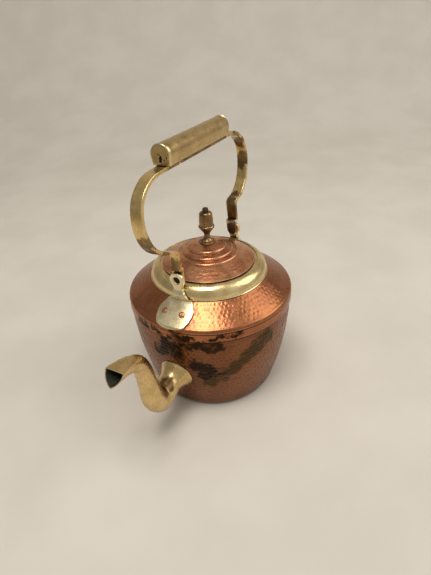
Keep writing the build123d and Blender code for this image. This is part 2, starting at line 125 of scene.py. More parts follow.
# Bail handle, drawn in its leaning plane: x along the kettle, h up from the hinge
LEAN = radians(3.9)
STRAP_T = 4.0
STRAP_W = 13.0
FRONT_TAB_W = 11.2
EYE_R = 6.8
EYE_X = (61.2, 64.2)
LEDGE_H = (9.7, 13.2)
FRONT_TAB = (63.9, 30.0)
REAR_TAB = (67.4, 34.2)
STRAP_TOP_H = 113.5
STRAP_FLAT_X = 60.0
STRAP_LOOP = ((86.0, 110.4), (102.0, 97.6), (107.3, 77.0), (99.4, 52.4), (80.5, 37.6))
ARM_RISE = 1.6
GRIP_R = 10.4
GRIP_H = 125.1
GRIP_HALF = 58.0
GRIP_FLAT = 18.2
GRIP_WAIST = radians(7)
SEAT_H = 115.55
CAP_R = 10.6
CAP_T = 1.3
CAP_PITS = (              # across, height and size of the holes eaten into the front cap
    (-1.9, 126.3, 0.75),
    (-0.9, 125.2, 0.9),
    (0.2, 123.7, 1.5),
    (-0.2, 121.7, 2.0),
    (-0.4, 119.8, 1.9),
    (1.4, 121.9, 0.9),
    (4.0, 120.9, 1.0),
    (6.7, 122.8, 1.05),
)

# Camera: where it stands, how it is turned, and its lens in millimetres
CAMERA_PLACE = (0.3756, 0.2195, 0.4022)
CAMERA_TURN = radians(29.5)
CAMERA_TILT = radians(33.16)
CAMERA_ROLL = radians(-3.32)
CAMERA_LENS = 27.05


# --- lines ----------------------------------------------------------------------------------


def smooth_line(points, count):
    """Even steps along a smooth curve through the points. Columns after the first two are carried along."""
    points = np.asarray(points, float)
    gap = np.linalg.norm(np.diff(points[:, :2], axis=0), axis=1)
    at = np.concatenate([[0.0], np.cumsum(gap)])
    slope = np.gradient(points, at, axis=0)
    t = np.linspace(0, at[-1], count)
    i = np.clip(np.searchsorted(at, t, side="right") - 1, 0, len(gap) - 1)
    w = ((t - at[i]) / gap[i])[:, None]
    h = gap[i][:, None]
    near = (2 * w**3 - 3 * w**2 + 1) * points[i] + (w**3 - 2 * w**2 + w) * h * slope[i]
    far = (3 * w**2 - 2 * w**3) * points[i + 1] + (w**3 - w**2) * h * slope[i + 1]
    return near + far


def arc(start, middle, end, count=10):
    """Points along the circle through three points, both ends included."""
    (ax, ay), (bx, by), (cx, cy) = start, middle, end
    d = 2 * (ax * (by - cy) + bx * (cy - ay) + cx * (ay - by))
    a2, b2, c2 = ax**2 + ay**2, bx**2 + by**2, cx**2 + cy**2
    ox = (a2 * (by - cy) + b2 * (cy - ay) + c2 * (ay - by)) / d
    oy = (a2 * (cx - bx) + b2 * (ax - cx) + c2 * (bx - ax)) / d
    first = atan2(ay - oy, ax - ox)
    half = (atan2(by - oy, bx - ox) - first + pi) % (2 * pi) - pi
    rest = (atan2(cy - oy, cx - ox) - first - half + pi) % (2 * pi) - pi
    radius = hypot(ax - ox, ay - oy)
    return [
        (ox + radius * cos(first + t * (half + rest)), oy + radius * sin(first + t * (half + rest)))
        for t in np.linspace(0, 1, count)
    ]


def rounded(points, radius, closed=False, steps=5):
    """The line with each of its corners rounded off."""
    points = [np.array(p, float) for p in points]
    points = [p for i, p in enumerate(points) if i == 0 or np.linalg.norm(p - points[i - 1]) > 1e-6]
    line = []
    for i, corner in enumerate(points):
        if not closed and i in (0, len(points) - 1):
            line.append(corner)
            continue
        before = points[i - 1] - corner
        after = points[(i + 1) % len(points)] - corner
        lengths = np.linalg.norm(before), np.linalg.norm(after)
        reach = min(radius, 0.45 * lengths[0], 0.45 * lengths[1])
        start = corner + before / lengths[0] * reach
        end = corner + after / lengths[1] * reach
        for t in np.linspace(0, 1, steps):
            line.append((1 - t) ** 2 * start + 2 * t * (1 - t) * corner + t**2 * end)
    return np.array(line)


def dense(line, step):
    """The same line with more points, so that none is further than a step from the next."""
    line = np.asarray(line, float)
    out = [line[:1]]
    for a, b in zip(line[:-1], line[1:]):
        pieces = max(1, int(np.ceil(np.linalg.norm(b - a) / step)))
        out.append(a + (b - a) * np.linspace(0, 1, pieces + 1)[1:, None])
    return np.concatenate(out)


def line_length(line):
    return np.linalg.norm(np.diff(line, axis=0), axis=1).sum()


def inward(line, thickness):
    """The line moved to its left by a thickness."""
    run = np.gradient(np.asarray(line, float), axis=0)
    run /= np.linalg.norm(run, axis=1)[:, None]
    return line + thickness * np.stack([-run[:, 1], run[:, 0]], 1)


def sheet_outline(outside):
    """The closed outline of a sheet from its outer side."""
    return np.concatenate([outside, inward(outside, SHEET)[::-1]])


# --- meshes ---------------------------------------------------------------------------------


def piece(name, points, faces, material, sharp=40):
    """A mesh object from points in millimetres, with its normals outwards and soft shading."""
    mesh = bpy.data.meshes.new(name)
    mesh.from_pydata((np.asarray(points, float) * MM).tolist(), [], [tuple(f) for f in faces])
    made = bpy.data.objects.new(name, mesh)
    bpy.context.scene.collection.objects.link(made)
    bpy.context.view_layer.objects.active = made
    bpy.ops.object.mode_set(mode="EDIT")
    bpy.ops.mesh.select_all(action="SELECT")
    bpy.ops.mesh.normals_make_consistent(inside=False)
    bpy.ops.object.mode_set(mode="OBJECT")
    mesh.shade_smooth()
    mesh.set_sharp_from_angle(angle=radians(sharp))
    mesh.materials.append(material)
    return made


def ring_faces(rows, ring, looped=False):
    """Quads over rows of closed rings. looped joins the last row to the first; otherwise both are capped."""
    i = np.arange(rows if looped else rows - 1)[:, None]
    j = np.arange(ring)[None, :]
    after = (i + 1) % rows
    beside = (j + 1) % ring
    quads = np.stack([i * ring + j, i * ring + beside, after * ring + beside, after * ring + j], -1)
    faces = quads.reshape(-1, 4).tolist()
    if not looped:
        faces.append(list(range(ring)))
        faces.append(list(range((rows - 1) * ring, rows * ring)))
    return faces


def skin(name, rows, material, looped=False, sharp=40):
    """A mesh over rows of closed rings."""
    rows = np.asarray(rows, float)
    return piece(name, rows.reshape(-1, 3), ring_faces(*rows.shape[:2], looped), material, sharp)


def turned_rows(outline, sides, relief=None):
    """Rings of a shape turned about Z. relief(angle, along) is how far each point sinks into the metal."""
    outline = np.asarray(outline, float)
    run = np.gradient(outline, axis=0)
    run /= np.maximum(np.linalg.norm(run, axis=1), 1e-9)[:, None]
    steps = np.linalg.norm(np.diff(outline, axis=0), axis=1)
    along = np.concatenate([[0.0], np.cumsum(steps)])
    angle = np.arange(sides) * 2 * pi / sides
    angle, along = np.meshgrid(angle, along)
    sink = relief(angle, along) if relief else np.zeros(angle.shape)
    radius = np.maximum(outline[:, :1] - sink * run[:, 1:], 0.02)
    height = outline[:, 1:] + sink * run[:, :1]
    return np.stack([radius * np.cos(angle), radius * np.sin(angle), height], -1)


def turned(name, outline, material, sides=128, relief=None, looped=False, sharp=40):
    """A shape turned about Z from an outline of (radius, height)."""
    return skin(name, turned_rows(outline, sides, relief), material, looped, sharp)


def laid_along_x(rows, side, centre):
    """Rings turned about Z, laid along X towards one side, about a centre."""
    return rows[..., [2, 1, 0]] * (side, 1, 1) + centre


def joined(parts):
    """Points and faces of several meshes as one."""
    points = []
    faces = []
    for part_points, part_faces in parts:
        start = len(points)
        points.extend(part_points)
        faces.extend([[start + i for i in face] for face in part_faces])
    return points, faces


def settle(made):
    """Applies the object's modifiers to its mesh."""
    graph = bpy.context.evaluated_depsgraph_get()
    mesh = bpy.data.meshes.new_from_object(made.evaluated_get(graph))
    made.modifiers.clear()
    made.data = mesh


def boolean(made, tool, operation):
    """Cuts the tool out of the object, or fuses it in, and removes the tool."""
    step = made.modifiers.new("boolean", "BOOLEAN")
    step.operation = operation
    step.solver = "EXACT"
    step.object = tool
    step.material_mode = "TRANSFER"
    bpy.context.view_layer.update()
    settle(made)
    bpy.data.objects.remove(tool)
    made.data.set_sharp_from_angle(angle=radians(40))


def stands_for(made, body, slot, *nodes):
    """The piece rides on a body and stands for its CAD nodes, which are hidden. The slot is not used."""
    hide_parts(*nodes)
    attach(made, body)


# --- hammer work ----------------------------------------------------------------------------


def planished(columns, pitch, depth, seed, start=0.0, end=1e9, fade=4.0, reach=0.42):
    """Hammer marks between two places along an outline. reach is a mark's squared radius in pitches."""
    chance = np.random.default_rng(seed)
    rows = 64
    shift = chance.uniform(-0.5 * reach - 0.13, 0.5 * reach + 0.13, (rows, columns, 2))
    weight = chance.uniform(0.45, 1.25, (rows, columns))

    def relief(angle, along):
        row = along / pitch
        nearest = np.full(angle.shape, 1e9)
        deep = np.zeros(angle.shape)
        for i in (-1, 0, 1):
            r = np.floor(row + 0.5).astype(int) + i
            column = angle * columns / (2 * pi) - 0.5 * (r % 2)
            for j in (-1, 0, 1):
                c = np.floor(column + 0.5).astype(int) + j
                move = shift[r % rows, c % columns]
                across = column - c - move[..., 0]
                up = row - r - move[..., 1]
                far = across**2 + up**2
                closer = far < nearest
                deep = np.where(closer, weight[r % rows, c % columns], deep)
                nearest = np.minimum(nearest, far)
        mark = depth * deep * np.clip(1 - nearest / reach, 0, 1)
        inside = np.clip((along - start) / fade, 0, 1) * np.clip((end - along) / fade, 0, 1)
        return mark * inside

    return relief


def uneven(depth, seed, waves=9):
    """Slow unevenness of hand-formed sheet, round and along, always into the metal."""
    chance = np.random.default_rng(seed)
    terms = [(k + 1, chance.uniform(0, 2 * pi), chance.uniform(0.02, 0.12)) for k in range(waves)]

    def relief(angle, along):
        total = sum(np.sin(k * angle + phase + rate * along) / (1 + 0.35 * k) for k, phase, rate in terms)
        return depth * (0.5 + 0.5 * np.tanh(0.7 * total))

    return relief


def both(first, second):
    """Two reliefs laid over each other."""
    return lambda angle, along: first(angle, along) + second(angle, along)


# --- materials ------------------------------------------------------------------------------


def node(tree, kind, inputs=None, **settings):
    """Adds a node. An input is linked when it is given a socket, and set when it is given a value."""
    made = tree.nodes.new(kind)
    for name, value in settings.items():
        setattr(made, name, value)
    for name, value in (inputs or {}).items():
        if isinstance(value, bpy.types.NodeSocket):
            tree.links.new(value, made.inputs[name])
        else:
            made.inputs[name].default_value = value
    return made


def noise(tree, place, scale, detail=3.0, rough=0.55):
    """Noise of about 1/scale metres."""
    inputs = {"Vector": place, "Scale": scale, "Detail": detail, "Roughness": rough}
    return node(tree, "ShaderNodeTexNoise", inputs).outputs[0]


def stretch(tree, value, low, high, to_low=0.0, to_high=1.0):
    """The value's range from low to high, smoothly, as another range."""
    ends = {"Value": value, "From Min": low, "From Max": high, "To Min": to_low, "To Max": to_high}
    return node(tree, "ShaderNodeMapRange", ends, interpolation_type="SMOOTHSTEP").outputs[0]


def maths(tree, operation, a, b=0.0):
    """One arithmetic step."""
    return node(tree, "ShaderNodeMath", {0: a, 1: b}, operation=operation).outputs[0]


def vector_maths(tree, operation, a, b):
    """One arithmetic step on vectors."""
    return node(tree, "ShaderNodeVectorMath", {0: a, 1: b}, operation=operation).outputs[0]


def blend(tree, share, a, b):
    """Colour a turning to colour b as the share goes from 0 to 1."""
    return node(tree, "ShaderNodeMix", {0: share, 6: a, 7: b}, data_type="RGBA").outputs[2]


def colour(red, green, blue):
    return (red, green, blue, 1.0)


def new_metal(name, metallic=1.0, rough=0.3, coat=0.0):
    """A material's tree, its shader and its object coordinates."""
    material = bpy.data.materials.new(name)
    material.use_nodes = True
    tree = material.node_tree
    shader = tree.nodes["Principled BSDF"]
    shader.inputs["Metallic"].default_value = metallic
    shader.inputs["Roughness"].default_value = rough
    shader.inputs["Coat Weight"].default_value = coat
    shader.inputs["Coat Roughness"].default_value = 0.3
    place = node(tree, "ShaderNodeTexCoord").outputs["Object"]
    return material, tree, shader, place


def squeezed(tree, place, scale):
    """Object coordinates scaled differently along X, Y and Z."""
    return node(tree, "ShaderNodeMapping", {"Vector": place, "Scale": scale}).outputs[0]


def around(tree, place, turns, rings):
    """Coordinates that run round the Z axis, for lathe and buffing marks."""
    split = node(tree, "ShaderNodeSeparateXYZ", {0: place})
    x, y, z = split.outputs
    angle = maths(tree, "ARCTAN2", y, x)
    squares = maths(tree, "ADD", maths(tree, "MULTIPLY", x, x), maths(tree, "MULTIPLY", y, y))
    radius = maths(tree, "SQRT", squares)
    parts = {
        "X": maths(tree, "MULTIPLY", angle, turns),
        "Y": maths(tree, "MULTIPLY", radius, rings),
        "Z": maths(tree, "MULTIPLY", z, rings),
    }
    return node(tree, "ShaderNodeCombineXYZ", parts).outputs[0]


def corner_shade(tree, reach, darkest=0.15, open_at=0.75):
    """1 in corners where two surfaces meet, 0 out in the open: ambient occlusion, used to paint shade into
    the corners.
    """
    shade = node(tree, "ShaderNodeAmbientOcclusion", {"Distance": reach}, samples=8).outputs["AO"]
    return stretch(tree, shade, darkest, open_at, 1.0, 0.0)


def edge_polish_and_highlight(tree, low=0.51, high=0.58):
    """1 on sharp outer edges: a painted highlight there, along with the polish that handling leaves."""
    return stretch(tree, node(tree, "ShaderNodeNewGeometry").outputs["Pointiness"], low, high)


def hollow_shade_and_dirt(tree, low=0.42, high=0.495):
    """1 in small hollows: painted shade there, along with the dirt that stays."""
    return stretch(tree, node(tree, "ShaderNodeNewGeometry").outputs["Pointiness"], low, high, 1.0, 0.0)


def blots(tree, place, spots):
    """1 inside any of the spots, each an (x, y, z) in millimetres, a radius and how flat it lies."""
    inputs = {"Vector": place, "Scale": 90.0, "Detail": 5.0, "Roughness": 0.65}
    ragged = node(tree, "ShaderNodeTexNoise", inputs).outputs[1]
    shift = vector_maths(tree, "ADD", ragged, (-0.5, -0.5, -0.5))
    shift = node(tree, "ShaderNodeVectorMath", {0: shift, "Scale": BLOT_REACH}, operation="SCALE")
    moved = vector_maths(tree, "ADD", place, shift.outputs[0])
    total = None
    for centre, radius, flat in spots:
        middle = [-c * MM for c in centre]
        size = 1 / (radius * MM)
        away = vector_maths(tree, "ADD", moved, middle)
        away = vector_maths(tree, "MULTIPLY", away, (size, size, size / flat))
        length = node(tree, "ShaderNodeVectorMath", {0: away}, operation="LENGTH").outputs["Value"]
        mask = stretch(tree, length, 0.75, 1.15, 1.0, 0.0)
        total = mask if total is None else maths(tree, "MAXIMUM", total, mask)
    return total


def bumped(tree, shader, height, distance, strength=1.0):
    """Small relief that the mesh doesn't hold."""
    made = node(tree, "ShaderNodeBump", {"Height": height, "Distance": distance * MM, "Strength": strength})
    tree.links.new(made.outputs[0], shader.inputs["Normal"])


def finish(tree, shader, base, rough):
    tree.links.new(base, shader.inputs["Base Color"])
    tree.links.new(rough, shader.inputs["Roughness"])


def on_body(angle, height, radius=94.0):
    """A point on the body's side from its angle in degrees and its height."""
    return (radius * cos(radians(angle)), radius * sin(radians(angle)), height)


BLOT_REACH = 0.026   # how far a blot's edge wanders, in metres
TARNISH = (           # copper blackened by flame and boiling over: angle, height, radius, flatness
    (-22.0, 118.0, 11.0, 0.5),
    (-9.0, 117.0, 9.0, 0.5),
    (-3.0, 104.0, 10.0, 1.1),
    (3.0, 96.0, 9.0, 1.5),
    (6.0, 119.0, 10.0, 0.5),
    (13.0, 117.5, 9.0, 0.5),
    (14.0, 106.0, 13.0, 0.4),
    (23.0, 108.0, 12.0, 0.6),
    (30.0, 105.0, 11.0, 0.8),
    (32.0, 118.0, 11.0, 0.35),
    (44.0, 119.0, 10.0, 0.3),
    (18.0, 76.0, 12.0, 0.8),
    (25.0, 72.0, 11.0, 0.7),
    (23.0, 61.0, 10.0, 0.9),
    (31.0, 64.0, 9.0, 0.7),
    (-8.0, 88.0, 11.0, 1.0),
    (205.0, 60.0, 18.0, 0.8),
    (250.0, 92.0, 15.0, 0.6),
    (150.0, 40.0, 17.0, 0.7),
    (120.0, 108.0, 14.0, 0.4),
    (278.0, 112.0, 13.0, 0.4),
)
OLIVE_REFLECTION = (             # a dark reflection painted as a duller run that slants across the side, and two dull patches round the back
    (67.0, 99.0, 12.0, 1.0),
    (61.0, 94.0, 14.0, 0.9),
    (54.0, 84.0, 13.0, 0.8),
    (47.0, 74.0, 13.0, 0.8),
    (40.0, 65.0, 13.0, 0.8),
    (33.0, 56.0, 12.0, 0.8),
    (26.0, 48.0, 11.0, 0.8),
    (300.0, 70.0, 18.0, 1.2),
    (180.0, 95.0, 16.0, 0.6),
)


def hammered_copper(name, depth, dull, shade_lines):
    """Planished copper. depth darkens it all, and the lines given are heights of painted shade along the
    seams, with their half widths.
    """
    material, tree, shader, place = new_metal(name)
    broad = noise(tree, place, 18, 3)
    cloud = noise(tree, place, 75, 5, 0.65)
    fine = noise(tree, place, 480, 4, 0.6)
    tone = [colour(*(depth * c for c in shade)) for shade in COPPER_TONES]
    base = blend(tree, stretch(tree, broad, 0.40, 0.60), tone[0], tone[1])
    base = blend(tree, stretch(tree, cloud, 0.50, 0.68), base, tone[2])
    base = blend(tree, stretch(tree, fine, 0.5, 0.72, 0.0, 0.6), base, tone[3])
    # painted shade in the hollows of the hammer marks and a painted highlight on their rims
    base = blend(tree, hollow_shade_and_dirt(tree, 0.455, 0.496), base, tone[4])
    base = blend(tree, edge_polish_and_highlight(tree, 0.504, 0.54), base, tone[5])
    patchy = stretch(tree, cloud, 0.32, 0.5, 0.45, 0.97)
    # a dark reflection, painted on as a duller olive run
    olive_reflection = blots(tree, place, [(on_body(a, z), r, f) for a, z, r, f in OLIVE_REFLECTION])
    olive_reflection = maths(tree, "MULTIPLY", olive_reflection, patchy)
    base = blend(tree, olive_reflection, base, colour(0.078, 0.044, 0.015))
    black = blots(tree, place, [(on_body(a, z), r, f) for a, z, r, f in TARNISH])
    black = maths(tree, "MULTIPLY", black, patchy)
    base = blend(tree, black, base, colour(0.026, 0.014, 0.007))
    height = node(tree, "ShaderNodeSeparateXYZ", {0: place}).outputs["Z"]
    # painted shade: dark lines under the skirt's lap edge and in the crease
    for level, half in shade_lines:
        away = maths(tree, "ABSOLUTE", maths(tree, "SUBTRACT", height, level * MM))
        line = stretch(tree, away, 0.4 * half * MM, half * MM, 0.85, 0.0)
        base = blend(tree, line, base, colour(0.035, 0.018, 0.009))
    # painted shade in corners, from ambient occlusion
    base = blend(tree, corner_shade(tree, 0.009, 0.2, 0.8), base, colour(0.030, 0.016, 0.008))
    rough = stretch(tree, cloud, 0.3, 0.7, dull[0], dull[1])
    stain_and_reflection = maths(tree, "MAXIMUM", olive_reflection, black)
    rough = maths(tree, "ADD", rough, maths(tree, "MULTIPLY", stain_and_reflection, 0.12))
    tree.links.new(stretch(tree, stain_and_reflection, 0.0, 1.0, 0.12, 0.0), shader.inputs["Coat Weight"])
    finish(tree, shader, base, rough)
    bumped(tree, shader, maths(tree, "ADD", fine, maths(tree, "MULTIPLY", cloud, 1.5)), 0.14)
    return material


COPPER_TONES = (      # brown, orange, red, specks, painted shade and dirt in the hollows between marks, painted highlight and polish on the rims of marks
    (0.40, 0.150, 0.060),
    (0.52, 0.200, 0.075),
    (0.48, 0.170, 0.095),
    (0.22, 0.080, 0.032),
    (0.12, 0.042, 0.017),
    (0.72, 0.350, 0.170),
)


def copper_lid():
    material, tree, shader, place = new_metal("copper_lid", coat=0.15)
    cloud = noise(tree, place, 70, 4, 0.6)
    brushed = noise(tree, around(tree, place, 5.0, 900.0), 1.0, 3)
    hairs = noise(tree, squeezed(tree, place, (1800, 160, 400)), 1.0, 3)
    base = blend(tree, stretch(tree, cloud, 0.40, 0.60), colour(0.52, 0.21, 0.10), colour(0.74, 0.35, 0.18))
    base = blend(tree, stretch(tree, brushed, 0.45, 0.7, 0.0, 0.35), base, colour(0.34, 0.14, 0.075))
    # a painted highlight on sharp edges and ring crests, painted shade in hollows and corners
    base = blend(tree, edge_polish_and_highlight(tree, 0.51, 0.56), base, colour(0.85, 0.52, 0.34))
    base = blend(tree, hollow_shade_and_dirt(tree, 0.44, 0.49), base, colour(0.28, 0.11, 0.06))
    base = blend(tree, corner_shade(tree, 0.004), base, colour(0.06, 0.03, 0.018))
    rough = stretch(tree, brushed, 0.3, 0.7, 0.22, 0.34)
    finish(tree, shader, base, rough)
    bumped(tree, shader, maths(tree, "ADD", brushed, hairs), 0.03)
    return material


def copper_rivet():
    material, tree, shader, place = new_metal("copper_rivet", coat=0.2)
    cloud = noise(tree, place, 500, 3)
    base = blend(tree, stretch(tree, cloud, 0.35, 0.65), colour(0.46, 0.20, 0.10), colour(0.68, 0.34, 0.19))
    # painted shade: a dark ring in the corner round the rivet head
    base = blend(tree, corner_shade(tree, 0.003), base, colour(0.07, 0.035, 0.015))
    finish(tree, shader, base, stretch(tree, cloud, 0.3, 0.7, 0.22, 0.36))
    bumped(tree, shader, cloud, 0.08)
    return material


def brass(name, low, high, shade, grain, grain_share=0.3, rough=(0.24, 0.36), pits=0.0, stains_and_shade=()):
    """Old brass: two tones in clouds, a grain, darker hollows of painted shade and dirt, brighter edges of
    painted highlight and polish, and painted shade in the corners.
    """
    material, tree, shader, place = new_metal(name, coat=0.1)
    cloud = noise(tree, place, 60, 4, 0.6)
    if grain == "around":
        marks = noise(tree, around(tree, place, 6.0, 1100.0), 1.0, 3)
    else:
        marks = noise(tree, squeezed(tree, place, grain), 1.0, 4)
    base = blend(tree, stretch(tree, cloud, 0.35, 0.65), colour(*low), colour(*high))
    base = blend(tree, stretch(tree, marks, 0.5, 0.72, 0.0, grain_share), base, colour(*shade))
    # a painted highlight on sharp edges and painted shade in hollows
    base = blend(tree, edge_polish_and_highlight(tree), base, colour(0.95, 0.80, 0.50))
    base = blend(tree, hollow_shade_and_dirt(tree), base, colour(*shade))
    height = marks
    if pits:
        holes = stretch(tree, noise(tree, place, 650, 2, 0.5), 0.70, 0.76)
        base = blend(tree, maths(tree, "MULTIPLY", holes, pits), base, colour(0.10, 0.07, 0.03))
        height = maths(tree, "SUBTRACT", marks, maths(tree, "MULTIPLY", holes, 2.0))
    # blots of stain, and painted shade where a blot is put for it
    if stains_and_shade:
        patchy = stretch(tree, cloud, 0.3, 0.6, 0.6, 0.95)
        brown_and_shade = maths(tree, "MULTIPLY", blots(tree, place, stains_and_shade), patchy)
        base = blend(tree, brown_and_shade, base, colour(0.13, 0.070, 0.026))
    # painted shade in corners, from ambient occlusion
    base = blend(tree, corner_shade(tree, 0.004), base, colour(0.055, 0.038, 0.015))
    finish(tree, shader, base, stretch(tree, maths(tree, "ADD", marks, cloud), 0.7, 1.3, *rough))
    bumped(tree, shader, height, 0.04)
    return material


def dark_metal(name, low, high):
    """Nearly black metal: iron, or brass that scale has covered."""
    material, tree, shader, place = new_metal(name, metallic=0.6)
    cloud = noise(tree, place, 300, 4)
    base = blend(tree, cloud, colour(*low), colour(*high))
    finish(tree, shader, base, stretch(tree, cloud, 0.3, 0.7, 0.45, 0.7))
    bumped(tree, shader, cloud, 0.1)
    return material


# the dark line on the wall is painted shade under the skirt's lap edge, and the one on the shoulder painted
# shade in the crease
WALL_COPPER = hammered_copper("copper_wall", 0.49, (0.26, 0.38), [(112.3, 1.3)])
SHOULDER_COPPER = hammered_copper("copper_shoulder", 0.88, (0.22, 0.34), [(123.1, 0.9)])
COPPER_LID = copper_lid()
COPPER_RIVET = copper_rivet()
COLLAR_BRASS = brass(
    "brass_collar", (0.70, 0.52, 0.24), (0.88, 0.70, 0.36), (0.28, 0.19, 0.07), "around", rough=(0.18, 0.30)
)
SPOUT_BRASS = brass(
    "brass_spout", (0.60, 0.42, 0.18), (0.76, 0.55, 0.26), (0.29, 0.195, 0.08), (500, 900, 300), 0.4,
    pits=0.9,
    # the blot paints shade on the stub's neck, under the limb
    stains_and_shade=[((114.0, 3.0, 64.8), 9.0, 1.0)],
)
LUG_BRASS = brass(
    "brass_lug", (0.78, 0.64, 0.38), (0.90, 0.78, 0.50), (0.42, 0.33, 0.17), (700, 700, 700), 0.3, pits=0.9
)
STRAP_STAINS_AND_SHADE = (          # where hands and steam have browned the bail; on the rear tab the brown also paints a dark reflection, and the patch on the rear eye and the three long flat ones under the grip are painted shade
    # browning with a painted dark reflection on the rear tab
    ((-65.0, -2.0, 190.0), 13.0, 1.0),
    ((-70.0, -3.0, 203.0), 7.0, 1.0),
    ((-80.0, -4.0, 208.0), 8.0, 0.7),
    ((-82.0, -8.0, 277.0), 9.0, 1.0),
    ((-96.0, -7.0, 262.0), 8.0, 1.2),
    ((84.0, -3.0, 207.0), 11.0, 0.6),
    ((98.0, -4.0, 222.0), 9.0, 1.2),
    ((65.0, -2.0, 180.0), 8.0, 0.7),
    ((66.0, -1.0, 188.0), 6.0, 1.0),
    ((-103.0, -5.0, 242.0), 10.0, 1.4),
    ((-101.0, -7.0, 265.0), 8.0, 1.0),
    # painted shade on the rear eye, behind the ear
    ((-63.0, 0.0, 168.0), 11.0, 1.0),
    ((101.0, -5.0, 226.0), 12.0, 1.0),
    # painted shade on the strap under the grip
    ((0.0, -7.7, 280.8), 40.0, 0.15),
    ((-40.0, -7.7, 280.8), 26.0, 0.15),
    ((40.0, -7.7, 280.8), 24.0, 0.15),
)
STRAP_BRASS = brass(
    "brass_strap",
    (0.64, 0.45, 0.175),
    (0.84, 0.62, 0.27),
    (0.24, 0.15, 0.055),
    (120, 1500, 120),
    stains_and_shade=STRAP_STAINS_AND_SHADE,
)
GRIP_BRASS = brass(
    "brass_grip", (0.50, 0.345, 0.145), (0.62, 0.445, 0.20), (0.30, 0.20, 0.085), (60, 1300, 1300), 0.4
)
CAP_BRASS = brass(
    "brass_cap", (0.36, 0.25, 0.095), (0.48, 0.345, 0.145), (0.22, 0.15, 0.06), (600, 600, 600)
)
BRONZE = brass("bronze_finial", (0.20, 0.115, 0.05), (0.33, 0.19, 0.08), (0.09, 0.05, 0.022), "around")
IRON = dark_metal("dark_iron", (0.02, 0.014, 0.010), (0.055, 0.035, 0.022))
BUTTON_BRONZE = dark_metal("button_bronze", (0.05, 0.030, 0.018), (0.12, 0.070, 0.038))
SPOUT_INSIDE = dark_metal("spout_scale", (0.02, 0.022, 0.014), (0.09, 0.085, 0.052))


# --- body -----------------------------------------------------------------------------------


def wall_radius(z):
    """Outer radius of the wall at a height."""
    line = smooth_line(WALL_OUTLINE, 200)
    return np.interp(z, line[:, 1], line[:, 0])


def build_wall():
    outside = dense(smooth_line(WALL_OUTLINE, 100), 0.9)
    inside = outside[::3] - (SHEET, 0)
    outline = np.concatenate([outside, inside[::-1]])
    length = line_length(outside)
    marks = planished(116, 5.0, 0.48, 11, 2.0, length - 8.0, reach=0.24)
    slow = uneven(0.12, 5)
    outer = lambda angle, along: np.where(along < length + 0.1, marks(angle, along) + slow(angle, along), 0)
    wall = turned("wall", outline, WALL_COPPER, 720, outer, looped=True, sharp=60)
    rows = turned_rows([(HOLE_R, 0.0), (HOLE_R, 60.0)], 48)
    cutter = skin("hole", laid_along_x(rows, 1, (50.0, 0.0, SPOUT_FOOT[1])), IRON)
    boolean(wall, cutter, "DIFFERENCE")
    stands_for(wall, "kettle", "copper_hammered", "body_wall")


def build_shoulder():
    crease = arc(*CREASE, 9)
    edge = rounded([(SKIRT_R - SHEET, SKIRT_Z), (SKIRT_R, SKIRT_Z), (SKIRT_R, SKIRT_Z + 4)], 0.45)
    outside = dense([*edge, *crease, CONE_TOP, (CONE_TOP[0], NECK_TOP_Z)], 0.85)
    inside = inward(outside[6:], SHEET)
    outline = np.concatenate([outside, inside[::-1][::3]])
    length = line_length(outside)
    cone = planished(100, 4.9, 0.22, 23, 17.0, length - 8.0, reach=0.17)
    skirt = planished(110, 5.0, 0.31, 31, 2.0, 10.5, 2.0, reach=0.22)
    slow = uneven(0.15, 8)

    def groove(angle, along):
        return 0.28 * np.exp(-(((along - 10.6) / 0.7) ** 2)) * (1 + 0.3 * np.sin(9 * angle))

    def relief(angle, along):
        marks = cone(angle, along) + skirt(angle, along) + groove(angle, along) + slow(angle, along)
        return np.where(along < length, marks, 0)

    shoulder = turned("shoulder", outline, SHOULDER_COPPER, 720, relief, looped=True, sharp=60)
    stands_for(shoulder, "kettle", "copper_hammered", "shoulder")


def build_collar():
    top = arc(COLLAR_ROOT, COLLAR_BULGE, COLLAR_LIP, 40)
    ledge = [(COLLAR_LIP[0], COLLAR_LEDGE_Z), (COLLAR_BORE[0], COLLAR_LEDGE_Z), COLLAR_BORE]
    line = rounded([COLLAR_FOOT, *top, *ledge], 0.5)
    outside = dense(line, 0.8)
    outline = sheet_outline(outside)
    length = line_length(outside)
    slow = both(uneven(0.16, 41, 14), planished(60, 6.0, 0.05, 43))
    relief = lambda angle, along: np.where(along < length - 14, slow(angle, along), 0)
    collar = turned("collar", outline, COLLAR_BRASS, 360, relief, looped=True, sharp=50)
    stands_for(collar, "kettle", "brass_collar", "collar_ring")


# --- lid ------------------------------------------------------------------------------------


def build_lid():
    line = [LID_EDGE]
    for foot, crown in LID_RINGS:
        bulge = (0.3 * crown[0] + 0.7 * foot[0], 0.8 * crown[1] + 0.2 * foot[1])
        line.extend(arc(foot, bulge, crown, 12))
    line = [*line, LID_CROWN, (STUD_R, LID_CROWN[1])]
    outside = dense(line, 0.7)
    outline = sheet_outline(outside)
    length = line_length(outside)
    slow = both(uneven(0.14, 61, 12), planished(64, 5.0, 0.10, 67, 1.0, 20.0, reach=0.2))
    relief = lambda angle, along: np.where(along < length, slow(angle, along), 0)
    lid = turned("lid", outline, COPPER_LID, 360, relief, looped=True, sharp=50)
    stands_for(lid, "lid", "copper_lid", "lid_cap")


